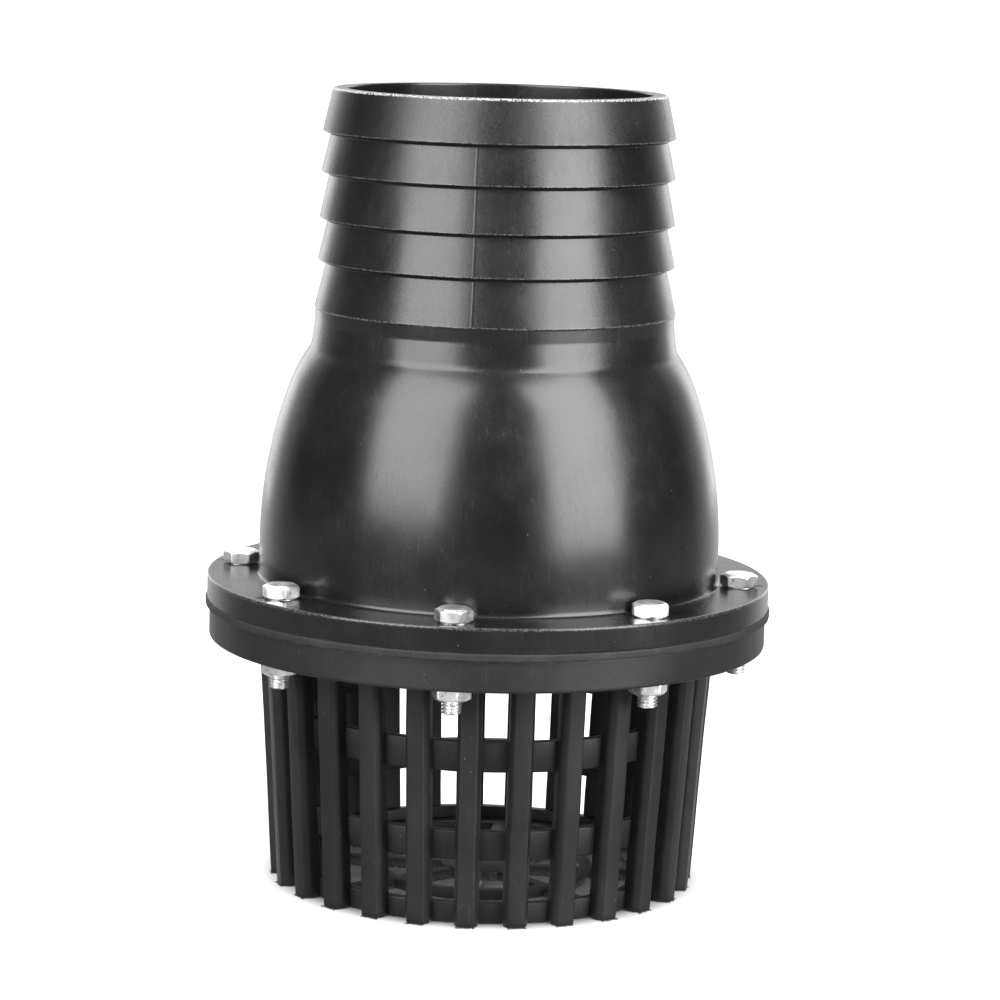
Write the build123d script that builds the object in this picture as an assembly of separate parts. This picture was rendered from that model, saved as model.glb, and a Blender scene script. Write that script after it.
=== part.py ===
from build123d import *
import math
import os

# Foot valve for the suction end of a 4-inch hose.
# Frame: +Z is up along the flow axis, the origin is on that axis in the plane of the
# strainer's feet, and two of the eight flange bolts lie on the X axis, two on the Y axis.
# All sizes are in millimetres.

os.makedirs("parts", exist_ok=True)

# Heights of the stack, from the feet up
BASKET_TOP_Z = 73.8
LOWER_FLANGE_THICK = 9.2
SHEET_THICK = 2.3
UPPER_FLANGE_THICK = 7.3
SEAT_FACE_Z = BASKET_TOP_Z + LOWER_FLANGE_THICK
SHEET_TOP_Z = SEAT_FACE_Z + SHEET_THICK
FLANGE_TOP_Z = SHEET_TOP_Z + UPPER_FLANGE_THICK
DOME_SHOULDER_Z = 102.0
SHOULDER_BEND_Z = 150.0
NECK_TOP_Z = 173.1
RIM_Z = 238.0

# Flange joint
UPPER_FLANGE_R = 84.7
LOWER_FLANGE_R = 84.0
FLANGE_CHAMFER = 0.8
BOLT_COUNT = 8
BOLT_CIRCLE_R = 75.8
BOLT_HOLE_R = 3.3

# Body moulding. The dome is a long arc from the shoulder, a tighter one from the bend and a
# small concave fillet into the slightly tapered foot of the neck. Tilt is the angle of an
# arc's normal above the horizontal.
DOME_R = 69.25
DOME_ARC_R = 142.0
BEND_ARC_R = 45.0
BEND_END_TILT = 35.0
NECK_FILLET_R = 5.0
NECK_TAPER_DEG = 8.0
DOME_WALL = 4.0
DOME_FOOT_FILLET = 1.4
NECK_R = 53.7
BORE_TOP_R = 45.4
BORE_FOOT_R = 46.6
RIM_OUTER_R = 49.6
RIM_CHAMFER = 0.6
# Each hose barb is a ring that widens downwards to a lip: lip height, lip radius and the
# radius at the root of the step below it
BARB_LIPS = ((225.3, 52.4, 50.1), (213.4, 52.6, 50.3), (199.8, 52.9, 50.6), (187.3, 53.2, 50.8),
             (173.1, 53.75, 53.7))
BARB_STEP = 1.0
LAST_STEP = 0.3

# Strainer basket
BAR_COUNT = 27
BAR_PHASE_DEG = 3.5
BAR_FACE_R = 64.1
BASKET_TAPER = 0.064
BAR_FACE_WIDTH = 4.9
BAR_WIDTH = 7.2
BAR_BEVEL_DEPTH = 2.4
BAR_BACK_WIDTH = 6.8
BAR_DEPTH = 6.1
RING_SETBACK = 5.3
RING_DEPTH = 8.4
HOOP_SPANS = ((0.0, 6.3), (19.3, 28.0), (45.8, 54.9))
FLOOR_THICK = 2.9
FLOOR_RINGS = ((48.5, 56.5), (30.0, 34.0))
HUB_R = 12.0
SPOKE_COUNT = 8
SPOKE_WIDTH = 4.5
SPOKE_END_R = 50.0
FLANGE_BORE_R = 60.0
REBATE_R = 66.3
BAR_ROOT = 0.6

# Seat plate, lying in the lower flange's rebate
SEAT_THICK = 4.0
SEAT_OUTER_R = 66.0
SEAT_OPENING_R = 44.0
SEAT_CHAMFER = 0.8

# Rubber sheet: clamped ring, hinge web and flap disc
SHEET_OUTER_R = 85.3
SHEET_INNER_R = 62.0
FLAP_R = 50.0
FLAP_CHORD_Y = 46.0
WEB_WIDTH = 30.0

# Plates clamping the flap disc, and their bolt
TOP_PLATE_R = 47.0
TOP_PLATE_THICK = 4.0
BOTTOM_PLATE_R = 38.0
BOTTOM_PLATE_THICK = 3.0
PLATE_CHAMFER = 0.6
FLAP_HOLE_R = 4.3
WASHER_R = 8.0
WASHER_THICK = 1.6

# Hexagon screws: across flats, head height, shank radius, length and nut height
M6_ACROSS_FLATS = 10.0
M6_HEAD = 4.0
M6_SHANK_R = 2.95
M6_LENGTH = 26.7
M6_NUT = 4.0
M8_ACROSS_FLATS = 13.0
M8_HEAD = 5.3
M8_SHANK_R = 3.95
M8_LENGTH = 20.0
M8_NUT = 6.5
NUT_BORE_GAP = 0.05
HEX_CHAMFER = 0.6
HEX_CHAMFER_DEG = 30


def disc(radius, bottom_z, height):
    """Solid cylinder on the flow axis."""
    return Pos(0, 0, bottom_z) * Cylinder(radius, height, align=(Align.CENTER, Align.CENTER, Align.MIN))


def annulus(inner_r, outer_r, bottom_z, height):
    """Flat ring on the flow axis."""
    return disc(outer_r, bottom_z, height) - disc(inner_r, bottom_z, height)


def spun(points):
    """Solid of revolution about the flow axis of an outline of (radius, height) points."""
    outline = make_face(Plane.XZ * Polyline(*points, close=True))
    return revolve(outline, Axis.Z)


def bolt_angles():
    """Angles of the flange bolts about the flow axis, in degrees."""
    return [i * 360 / BOLT_COUNT for i in range(BOLT_COUNT)]


def at_bolt(angle):
    """Place of one flange bolt on its circle."""
    return Rot(0, 0, angle) * Pos(BOLT_CIRCLE_R, 0, 0)


def bolt_holes(bottom_z, height):
    """The ring of clearance holes through one flange layer."""
    hole = disc(BOLT_HOLE_R, bottom_z, height)
    return [at_bolt(angle) * hole for angle in bolt_angles()]


def hexagon(across_flats, bottom_z, height):
    """Hexagonal prism with its corners chamfered at both ends, flats facing along X."""
    corner_r = across_flats / math.sqrt(3)
    prism = Pos(0, 0, bottom_z) * extrude(RegularPolygon(corner_r, 6, rotation=30), height)
    low = bottom_z
    high = bottom_z + height
    small_r = corner_r - HEX_CHAMFER
    large_r = corner_r + HEX_CHAMFER
    rise = (large_r - small_r) * math.tan(math.radians(HEX_CHAMFER_DEG))
    cone = spun(((0, low), (small_r, low), (large_r, low + rise),
                 (large_r, high - rise), (small_r, high), (0, high)))
    return prism & cone


def on_arc(centre, radius, tilt):
    """Point of an arc whose normal there is tilted up by tilt degrees."""
    angle = math.radians(tilt)
    return (centre[0] + radius * math.cos(angle), centre[1] + radius * math.sin(angle))


def arc(centre, radius, start_tilt, end_tilt):
    """Arc between two tilts; a negative radius makes it concave."""
    mid_tilt = (start_tilt + end_tilt) / 2
    return ThreePointArc(on_arc(centre, radius, start_tilt), on_arc(centre, radius, mid_tilt),
                         on_arc(centre, radius, end_tilt))


def tilt_at_radius(centre, arc_r, radius):
    """Tilt at which an arc has this distance from the flow axis."""
    return math.degrees(math.acos((radius - centre[0]) / arc_r))


def valve_body():
    """Hose tail, dome and upper flange in one hollow moulding."""
    dome_centre = (DOME_R - DOME_ARC_R, DOME_SHOULDER_Z)
    bend_tilt = math.degrees(math.asin((SHOULDER_BEND_Z - DOME_SHOULDER_Z) / DOME_ARC_R))
    bend_centre = on_arc(on_arc(dome_centre, DOME_ARC_R, bend_tilt), -BEND_ARC_R, bend_tilt)
    bend_end = on_arc(bend_centre, BEND_ARC_R, BEND_END_TILT)
    fillet_centre = on_arc(bend_end, NECK_FILLET_R, BEND_END_TILT)
    neck_foot_r, neck_foot_z = on_arc(fillet_centre, -NECK_FILLET_R, NECK_TAPER_DEG)
    neck_z = neck_foot_z + (neck_foot_r - NECK_R) / math.tan(math.radians(NECK_TAPER_DEG))
    inner_bend_r = BEND_ARC_R - DOME_WALL
    inner_end_tilt = tilt_at_radius(bend_centre, inner_bend_r, BORE_FOOT_R)
    inner_r = DOME_R - DOME_WALL

    tail = [(neck_foot_r, neck_foot_z), (NECK_R, neck_z)]
    for lip_z, lip_r, root_r in reversed(BARB_LIPS):
        step = LAST_STEP if root_r == NECK_R else BARB_STEP
        tail += [(root_r, lip_z - step), (lip_r, lip_z)]
    tail += [(RIM_OUTER_R, RIM_Z - RIM_CHAMFER), (RIM_OUTER_R - RIM_CHAMFER, RIM_Z)]
    tail += [(BORE_TOP_R + RIM_CHAMFER, RIM_Z), (BORE_TOP_R, RIM_Z - RIM_CHAMFER)]
    tail += [on_arc(bend_centre, inner_bend_r, inner_end_tilt)]

    flange = [(inner_r, DOME_SHOULDER_Z), (inner_r, SHEET_TOP_Z), (UPPER_FLANGE_R, SHEET_TOP_Z)]
    flange += [(UPPER_FLANGE_R, FLANGE_TOP_Z - FLANGE_CHAMFER)]
    flange += [(UPPER_FLANGE_R - FLANGE_CHAMFER, FLANGE_TOP_Z)]
    flange += [(DOME_R + DOME_FOOT_FILLET, FLANGE_TOP_Z)]
    dome_start = (DOME_R, FLANGE_TOP_Z + DOME_FOOT_FILLET)

    outline = Polyline(*flange)
    outline += RadiusArc((DOME_R + DOME_FOOT_FILLET, FLANGE_TOP_Z), dome_start, DOME_FOOT_FILLET)
    outline += Line(dome_start, (DOME_R, DOME_SHOULDER_Z))
    outline += arc(dome_centre, DOME_ARC_R, 0, bend_tilt)
    outline += arc(bend_centre, BEND_ARC_R, bend_tilt, BEND_END_TILT)
    outline += arc(fillet_centre, -NECK_FILLET_R, BEND_END_TILT, NECK_TAPER_DEG)
    outline += Polyline(*tail)
    outline += arc(bend_centre, inner_bend_r, inner_end_tilt, bend_tilt)
    outline += arc(dome_centre, DOME_ARC_R - DOME_WALL, bend_tilt, 0)
    body = revolve(make_face(Plane.XZ * outline), Axis.Z)
    return body - bolt_holes(SHEET_TOP_Z, UPPER_FLANGE_THICK)


def basket_bar():
    """One upright bar at the +X side, with bevelled sides, leaning outwards upwards."""
    height = BASKET_TOP_Z + BAR_ROOT
    right = [(BAR_FACE_R, BAR_FACE_WIDTH / 2), (BAR_FACE_R - BAR_BEVEL_DEPTH, BAR_WIDTH / 2),
             (BAR_FACE_R - BAR_DEPTH, BAR_BACK_WIDTH / 2)]
    left = [(x, -y) for x, y in reversed(right)]
    section = make_face(Polyline(*right, *left, close=True))
    lean = Vector(BASKET_TAPER, 0, 1)
    return extrude(section, height * lean.length, dir=lean.normalized())


def basket_hoop(low_z, high_z):
    """One tapered hoop joining the backs of the bars."""
    low_r = BAR_FACE_R + BASKET_TAPER * low_z
    high_r = BAR_FACE_R + BASKET_TAPER * high_z
    return spun(((low_r - RING_SETBACK, low_z), (high_r - RING_SETBACK, high_z),
                 (high_r - RING_DEPTH, high_z), (low_r - RING_DEPTH, low_z)))


def floor_grid():
    """Hub, spokes and flat rings across the bottom of the basket."""
    grid = disc(HUB_R, 0, FLOOR_THICK)
    for inner_r, outer_r in FLOOR_RINGS:
        grid += annulus(inner_r, outer_r, 0, FLOOR_THICK)
    spoke = Box(SPOKE_END_R, SPOKE_WIDTH, FLOOR_THICK, align=(Align.MIN, Align.CENTER, Align.MIN))
    grid += [Rot(0, 0, i * 360 / SPOKE_COUNT) * spoke for i in range(SPOKE_COUNT)]
    return grid


def lower_flange():
    """Flange at the top of the basket, with a rebate for the seat plate."""
    low = BASKET_TOP_Z
    high = SEAT_FACE_Z
    rebate_z = SEAT_FACE_Z - SEAT_THICK
    edge = LOWER_FLANGE_R
    outline = ((FLANGE_BORE_R, low), (edge - FLANGE_CHAMFER, low), (edge, low + FLANGE_CHAMFER), (edge, high),
               (REBATE_R, high), (REBATE_R, rebate_z), (FLANGE_BORE_R, rebate_z))
    return spun(outline) - bolt_holes(low, LOWER_FLANGE_THICK)


def strainer_basket():
    """Bars, hoops, floor grid and lower flange in one moulding."""
    bar = basket_bar()
    first = BAR_PHASE_DEG - 90
    basket = lower_flange() + floor_grid()
    basket += [basket_hoop(low_z, high_z) for low_z, high_z in HOOP_SPANS]
    basket += [Rot(0, 0, first + i * 360 / BAR_COUNT) * bar for i in range(BAR_COUNT)]
    return basket


def seat_plate():
    """Flat plate that narrows the flow opening to the seat."""
    low = SEAT_FACE_Z - SEAT_THICK
    outline = ((SEAT_OPENING_R, low), (SEAT_OUTER_R, low), (SEAT_OUTER_R, SEAT_FACE_Z),
               (SEAT_OPENING_R + SEAT_CHAMFER, SEAT_FACE_Z), (SEAT_OPENING_R, SEAT_FACE_Z - SEAT_CHAMFER))
    return spun(outline)


def gasket_ring():
    """Outer part of the rubber sheet, clamped between the flanges."""
    ring = annulus(SHEET_INNER_R, SHEET_OUTER_R, SEAT_FACE_Z, SHEET_THICK)
    return ring - bolt_holes(SEAT_FACE_Z, SHEET_THICK)


def hinge_web():
    """Strip of the rubber sheet that bends between the clamped ring and the flap."""
    strip_length = SHEET_INNER_R - FLAP_CHORD_Y
    strip = Pos(0, FLAP_CHORD_Y, SEAT_FACE_Z) * Box(WEB_WIDTH, strip_length, SHEET_THICK,
                                                    align=(Align.CENTER, Align.MIN, Align.MIN))
    return strip & disc(SHEET_INNER_R, SEAT_FACE_Z, SHEET_THICK)


def flap_disc():
    """Moving part of the rubber sheet, straight where the web joins it."""
    sheet = disc(FLAP_R, SEAT_FACE_Z, SHEET_THICK) - disc(FLAP_HOLE_R, SEAT_FACE_Z, SHEET_THICK)
    beyond = Pos(0, FLAP_CHORD_Y, SEAT_FACE_Z) * Box(2 * FLAP_R, FLAP_R, SHEET_THICK,
                                                     align=(Align.CENTER, Align.MIN, Align.MIN))
    return sheet - beyond


def clamp_plate(radius, bottom_z, thickness):
    """Round steel plate with a centre hole and broken edges."""
    top_z = bottom_z + thickness
    outline = ((FLAP_HOLE_R, bottom_z), (radius - PLATE_CHAMFER, bottom_z),
               (radius, bottom_z + PLATE_CHAMFER), (radius, top_z - PLATE_CHAMFER),
               (radius - PLATE_CHAMFER, top_z), (FLAP_HOLE_R, top_z))
    return spun(outline)


def hex_screw(across_flats, head, shank_r, length, seat_z):
    """Hexagon head screw with its head's underside at seat_z, pointing down."""
    return hexagon(across_flats, seat_z, head) + disc(shank_r, seat_z - length, length)


def hex_nut(across_flats, height, shank_r, seat_z):
    """Hexagon nut with its upper face at seat_z."""
    low = seat_z - height
    return hexagon(across_flats, low, height) - disc(shank_r + NUT_BORE_GAP, low, height)


def write_node(name, shape):
    """Write one named piece."""
    export_step(shape, f"parts/{name}.step")


plate_low_z = SEAT_FACE_Z - BOTTOM_PLATE_THICK
washer_z = SHEET_TOP_Z + TOP_PLATE_THICK

write_node("valve_body", valve_body())
write_node("strainer_basket", strainer_basket())
write_node("seat_plate", seat_plate())
write_node("gasket_ring", gasket_ring())
write_node("hinge_web", hinge_web())
write_node("flap_disc", flap_disc())
write_node("flap_top_plate", clamp_plate(TOP_PLATE_R, SHEET_TOP_Z, TOP_PLATE_THICK))
write_node("flap_bottom_plate", clamp_plate(BOTTOM_PLATE_R, plate_low_z, BOTTOM_PLATE_THICK))
write_node("flap_washer", annulus(FLAP_HOLE_R, WASHER_R, washer_z, WASHER_THICK))
write_node("flap_bolt", hex_screw(M8_ACROSS_FLATS, M8_HEAD, M8_SHANK_R, M8_LENGTH, washer_z + WASHER_THICK))
write_node("flap_nut", hex_nut(M8_ACROSS_FLATS, M8_NUT, M8_SHANK_R, plate_low_z))

flange_bolt = hex_screw(M6_ACROSS_FLATS, M6_HEAD, M6_SHANK_R, M6_LENGTH, FLANGE_TOP_Z)
flange_nut = hex_nut(M6_ACROSS_FLATS, M6_NUT, M6_SHANK_R, BASKET_TOP_Z)
for number, angle in enumerate(bolt_angles(), 1):
    write_node(f"flange_bolt_{number}", at_bolt(angle) * flange_bolt)
    write_node(f"flange_nut_{number}", at_bolt(angle) * flange_nut)
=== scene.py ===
import math

import bmesh
import bpy
from mathutils import Matrix, Vector, noise


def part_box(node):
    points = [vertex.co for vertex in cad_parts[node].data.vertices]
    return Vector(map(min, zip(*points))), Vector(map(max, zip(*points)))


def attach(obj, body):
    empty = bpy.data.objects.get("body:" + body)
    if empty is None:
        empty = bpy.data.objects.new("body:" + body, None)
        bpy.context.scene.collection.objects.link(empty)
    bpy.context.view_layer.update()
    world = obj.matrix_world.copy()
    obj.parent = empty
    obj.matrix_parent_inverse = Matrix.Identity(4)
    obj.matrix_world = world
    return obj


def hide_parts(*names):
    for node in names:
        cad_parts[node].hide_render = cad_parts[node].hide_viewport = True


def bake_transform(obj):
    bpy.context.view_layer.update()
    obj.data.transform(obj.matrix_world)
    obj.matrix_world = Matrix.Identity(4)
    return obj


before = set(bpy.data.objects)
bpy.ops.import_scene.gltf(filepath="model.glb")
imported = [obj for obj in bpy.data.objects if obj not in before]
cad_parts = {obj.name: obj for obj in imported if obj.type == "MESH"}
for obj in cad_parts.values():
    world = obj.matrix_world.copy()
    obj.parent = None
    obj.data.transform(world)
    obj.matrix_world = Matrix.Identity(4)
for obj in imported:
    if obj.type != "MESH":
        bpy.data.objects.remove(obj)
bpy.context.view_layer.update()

# Foot valve: black moulded body and strainer basket, rubber sheet and zinc-plated screws.
# Lengths named here are in millimetres; MM turns them into Blender's metres. Heights and
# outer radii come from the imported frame, so this script only adds what the frame can't say.

MM = 0.001


def top_mm(node):
    """Height of a CAD node's highest point."""
    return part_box(node)[1].z / MM


def low_mm(node):
    """Height of a CAD node's lowest point."""
    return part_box(node)[0].z / MM


def radius_mm(node):
    """Outer radius of a CAD node that is round about the flow axis."""
    low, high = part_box(node)
    return (high.x - low.x) / 2 / MM


# Heights and radii from the frame
RIM_Z = top_mm("valve_body")
SHEET_TOP_Z = low_mm("valve_body")
SEAT_FACE_Z = top_mm("strainer_basket")
SCREW_HEAD = 4.0
FLANGE_TOP_Z = top_mm("flange_bolt_1") - SCREW_HEAD
FLANGE_LOW_Z = top_mm("flange_nut_1")
UPPER_FLANGE_R = radius_mm("valve_body")
LOWER_FLANGE_R = radius_mm("strainer_basket")
GASKET_R = radius_mm("gasket_ring")
SEAT_LOW_Z = low_mm("seat_plate")
BOLT_COUNT = 8
BOLT_1 = (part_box("flange_nut_1")[0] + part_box("flange_nut_1")[1]) / 2
BOLT_CIRCLE_R = math.hypot(BOLT_1.x, BOLT_1.y) / MM
BOLT_HOLE_R = 3.3

# Body moulding: a long arc from the shoulder, a tighter one from the bend, a small concave
# fillet and the tapered foot of the neck. Tilt is an arc's normal above the horizontal.
DOME_R = 69.25
DOME_SHOULDER_Z = 102.0
SHOULDER_BEND_Z = 150.0
DOME_ARC_R = 142.0
BEND_ARC_R = 45.0
BEND_END_TILT = 35.0
NECK_FILLET_R = 5.0
NECK_TAPER_DEG = 8.0
DOME_WALL = 4.0
DOME_FOOT_FILLET = 1.4
NECK_R = 53.7
NECK_TOP_Z = 173.1
BORE_TOP_R = 45.4
BORE_FOOT_R = 46.6
RIM_OUTER_R = 49.6
# Hose barbs: lip height, lip radius and the radius at the root of the step below it
BARB_LIPS = ((225.3, 52.4, 50.1), (213.4, 52.6, 50.3), (199.8, 52.9, 50.6), (187.3, 53.2, 50.8),
             (173.1, 53.95, 53.7))
TOP_LIP_Z = BARB_LIPS[0][0]
BARB_STEP = 1.0
LAST_STEP = 0.3
# Distance of the extra outline points that keep long flat faces flat beside their rounded corners
SUPPORT_GAP = 0.35
# How far a drilled hole's cutter passes the faces it goes through
DRILL_MARGIN = 2.0

# Strainer basket
BAR_COUNT = 27
BAR_PHASE_DEG = 3.5
BAR_FACE_R = 64.1
BASKET_TAPER = 0.064
BAR_FACE_WIDTH = 4.9
BAR_WIDTH = 7.2
BAR_BEVEL_DEPTH = 2.4
BAR_BACK_WIDTH = 6.8
BAR_DEPTH = 6.1
RING_SETBACK = 5.3
RING_DEPTH = 8.4
HOOP_SPANS = ((0.0, 6.3), (19.3, 28.0), (45.8, 54.9))
FLOOR_THICK = 2.9
FLOOR_RINGS = ((48.5, 56.5), (30.0, 34.0))
HUB_R = 12.0
SPOKE_COUNT = 8
SPOKE_WIDTH = 4.5
SPOKE_END_R = 50.0
# The spokes are this much thinner than the rings, above and below
SPOKE_INSET = 0.06
FLANGE_BORE_R = 60.0
REBATE_R = 66.3

# Rubber sheet
SHEET_INNER_R = 62.0
FLAP_R = radius_mm("flap_top_plate") + 3.0
WEB_HALF_WIDTH = 15.0
WEB_FILLET = 3.0

# Screws: across flats, shank radius and thread pitch
M6 = {"flats": 10.0, "shank_r": 2.95, "pitch": 1.0}
M8 = {"flats": 13.0, "shank_r": 3.95, "pitch": 1.25}
# A thread's depth as a share of its pitch
THREAD_DEPTH = 0.60
# How far each flange screw's head and nut were turned when they were tightened, in degrees
HEAD_TURNS = (28, 41, 5, 30, 35, 36, -4, -4)
NUT_TURNS = (24, 3, 47, 15, 38, 9, 52, 31)
# Slope of the turned-off corners, and the face left inside them as a share of the flats
CROWN_DEG = 30
SMALL_CROWN = 0.95
LARGE_CROWN = 0.82

# The camera stands on a level line of sight that passes the -Y bolt on its left
CAMERA_TURN_DEG = 7.1
CAMERA_DISTANCE = 1061.3
CAMERA_HEIGHT = 287.4
CAMERA_PITCH_DEG = 9.21
CAMERA_YAW_DEG = 0.16
CAMERA_ROLL_DEG = 1.53
CAMERA_LENS = 128.4


# ---------------------------------------------------------------- mesh helpers

def turned(radial, side, angle):
    """Level x and y of a point given outwards and sideways, turned about the flow axis by angle."""
    x = radial * math.cos(angle) - side * math.sin(angle)
    y = radial * math.sin(angle) + side * math.cos(angle)
    return x, y


def lathe_angles(count, seams=()):
    """Angles round the flow axis in radians, with extra ones across each moulding seam."""
    angles = {round(math.tau * i / count, 6) for i in range(count)}
    for seam in seams:
        for offset in (-0.7, -0.45, -0.25, 0.0, 0.25, 0.45, 0.7):
            angles.add(round((seam + math.radians(offset)) % math.tau, 6))
    return sorted(angles)


def rounded(points, steps=4):
    """Closed outline of (radius, height) points with each (r, z, corner) rounded by its corner size."""
    outline = []
    count = len(points)
    for i, (r, z, corner) in enumerate(points):
        here = Vector((r, z))
        before = Vector(points[i - 1][:2])
        after = Vector(points[(i + 1) % count][:2])
        back = min(corner, (before - here).length * 0.45)
        on = min(corner, (after - here).length * 0.45)
        if corner == 0:
            outline.append(here)
            continue
        start = here + (before - here).normalized() * back
        end = here + (after - here).normalized() * on
        for k in range(steps + 1):
            t = k / steps
            outline.append(start * (1 - t) ** 2 + here * 2 * t * (1 - t) + end * t * t)
    return outline


def supported(outline):
    """The closed outline with extra points beside the ends of its long straight runs."""
    points = []
    for here, after in zip(outline, outline[1:] + outline[:1]):
        points.append(here)
        run = after - here
        if run.length > 6 * SUPPORT_GAP:
            step = run.normalized() * SUPPORT_GAP
            points += [here + step, after - step]
    return points


def lathe(bm, outline, angles, shape=None):
    """Adds the closed outline, turned about the flow axis. shape(r, z, angle) may move a point."""
    rows = []
    for angle in angles:
        row = []
        for r, z in outline:
            if shape is not None:
                r, z = shape(r, z, angle)
            row.append(bm.verts.new((r * math.cos(angle) * MM, r * math.sin(angle) * MM, z * MM)))
        rows.append(row)
    for i, row in enumerate(rows):
        following = rows[(i + 1) % len(rows)]
        for k in range(len(outline)):
            m = (k + 1) % len(outline)
            bm.faces.new((row[k], following[k], following[m], row[m]))


def loft(bm, rings):
    """Adds a closed solid through rings of points, each ring with as many points, capped at both ends."""
    rows = [[bm.verts.new(point) for point in ring] for ring in rings]
    for low, high in zip(rows, rows[1:]):
        for k in range(len(low)):
            m = (k + 1) % len(low)
            bm.faces.new((low[k], low[m], high[m], high[k]))
    bm.faces.new(list(reversed(rows[0])))
    bm.faces.new(rows[-1])


def finished(bm, name, sharp_deg=32):
    """A mesh object of the bmesh, smooth except across sharp edges."""
    bmesh.ops.recalc_face_normals(bm, faces=bm.faces)
    mesh = bpy.data.meshes.new(name)
    bm.to_mesh(mesh)
    bm.free()
    mesh.polygons.foreach_set("use_smooth", [True] * len(mesh.polygons))
    mesh.set_sharp_from_angle(angle=math.radians(sharp_deg))
    obj = bpy.data.objects.new(name, mesh)
    bpy.context.scene.collection.objects.link(obj)
    return obj


def bolt_place(number, z=0.0):
    """Frame of a flange screw at the given height, its X axis pointing outwards."""
    turn = Matrix.Rotation(math.tau * number / BOLT_COUNT, 4, "Z")
    return turn @ Matrix.Translation((BOLT_CIRCLE_R * MM, 0, z * MM))


def drill(obj, low_face_z, high_face_z):
    """Cuts the flange's ring of screw holes through the object, between two of its faces."""
    low_z = low_face_z - DRILL_MARGIN
    high_z = high_face_z + DRILL_MARGIN
    bm = bmesh.new()
    for i in range(BOLT_COUNT):
        place = bolt_place(i, (low_z + high_z) / 2)
        bmesh.ops.create_cone(bm, cap_ends=True, segments=32, radius1=BOLT_HOLE_R * MM,
                              radius2=BOLT_HOLE_R * MM, depth=(high_z - low_z) * MM, matrix=place)
    cutter = finished(bm, "cutter")
    cut = obj.modifiers.new("holes", "BOOLEAN")
    cut.operation = "DIFFERENCE"
    cut.solver = "EXACT"
    cut.object = cutter
    graph = bpy.context.evaluated_depsgraph_get()
    mesh = bpy.data.meshes.new_from_object(obj.evaluated_get(graph))
    obj.modifiers.clear()
    old = obj.data
    obj.data = mesh
    bpy.data.meshes.remove(old)
    bpy.data.objects.remove(cutter)


def wobble(x, y, z, scale, size):
    """Smooth unevenness of about the given size, with lumps about 1 / scale millimetres across."""
    return noise.noise(Vector((x, y, z)) * scale) * size


# ---------------------------------------------------------------- materials

def material(name):
    """A new node material with its tree's shader, and object coordinates in millimetres."""
    made = bpy.data.materials.new(name)
    made.use_nodes = True
    tree = made.node_tree
    shader = tree.nodes["Principled BSDF"]
    coordinates = tree.nodes.new("ShaderNodeTexCoord")
    scaled = tree.nodes.new("ShaderNodeVectorMath")
    scaled.operation = "SCALE"
    scaled.inputs["Scale"].default_value = 1 / MM
    tree.links.new(coordinates.outputs["Object"], scaled.inputs[0])
    return made, tree, shader, scaled.outputs[0]


def noise_node(tree, vector, scale, detail=4.0, roughness=0.55, stretch=None):
    """Noise with lumps about 1 / scale millimetres across; stretch scales each axis first."""
    if stretch is not None:
        mapping = tree.nodes.new("ShaderNodeMapping")
        mapping.inputs["Scale"].default_value = stretch
        tree.links.new(vector, mapping.inputs["Vector"])
        vector = mapping.outputs["Vector"]
    made = tree.nodes.new("ShaderNodeTexNoise")
    made.inputs["Scale"].default_value = scale
    made.inputs["Detail"].default_value = detail
    made.inputs["Roughness"].default_value = roughness
    tree.links.new(vector, made.inputs["Vector"])
    return made.outputs["Fac"]


def spread(tree, value, low, high, to_low, to_high):
    """Maps value from low..high to to_low..to_high, clamped."""
    made = tree.nodes.new("ShaderNodeMapRange")
    made.inputs["From Min"].default_value = low
    made.inputs["From Max"].default_value = high
    made.inputs["To Min"].default_value = to_low
    made.inputs["To Max"].default_value = to_high
    tree.links.new(value, made.inputs["Value"])
    return made.outputs["Result"]


def combine(tree, operation, a, b):
    """Maths on two values, either of them a socket or a number."""
    made = tree.nodes.new("ShaderNodeMath")
    made.operation = operation
    for socket, value in zip(made.inputs, (a, b)):
        if isinstance(value, (int, float)):
            socket.default_value = value
        else:
            tree.links.new(value, socket)
    return made.outputs[0]


def blend_colour(tree, amount, a, b):
    """Colour a turning into colour b by amount; each is a colour or a socket."""
    made = tree.nodes.new("ShaderNodeMix")
    made.data_type = "RGBA"
    tree.links.new(amount, made.inputs["Factor"])
    inputs = [s for s in made.inputs if s.type == "RGBA"]
    for socket, value in zip(inputs, (a, b)):
        if isinstance(value, tuple):
            socket.default_value = (*value, 1)
        else:
            tree.links.new(value, socket)
    return [s for s in made.outputs if s.type == "RGBA"][0]


def bump(tree, height, distance, strength, normal=None):
    """Bump of the given depth in millimetres."""
    made = tree.nodes.new("ShaderNodeBump")
    made.inputs["Distance"].default_value = distance * MM
    made.inputs["Strength"].default_value = strength
    tree.links.new(height, made.inputs["Height"])
    if normal is not None:
        tree.links.new(normal, made.inputs["Normal"])
    return made.outputs["Normal"]


def specks(tree, vector, scale, size, share):
    """Dust specks: 1 on small spots in a share of the cells, 0 elsewhere."""
    cells = tree.nodes.new("ShaderNodeTexVoronoi")
    cells.inputs["Scale"].default_value = scale
    tree.links.new(vector, cells.inputs["Vector"])
    spot = spread(tree, cells.outputs["Distance"], size, size * 0.6, 0, 1)
    red = tree.nodes.new("ShaderNodeSeparateColor")
    tree.links.new(cells.outputs["Color"], red.inputs[0])
    chosen = combine(tree, "LESS_THAN", red.outputs[0], share)
    return combine(tree, "MULTIPLY", spot, chosen)


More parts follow.
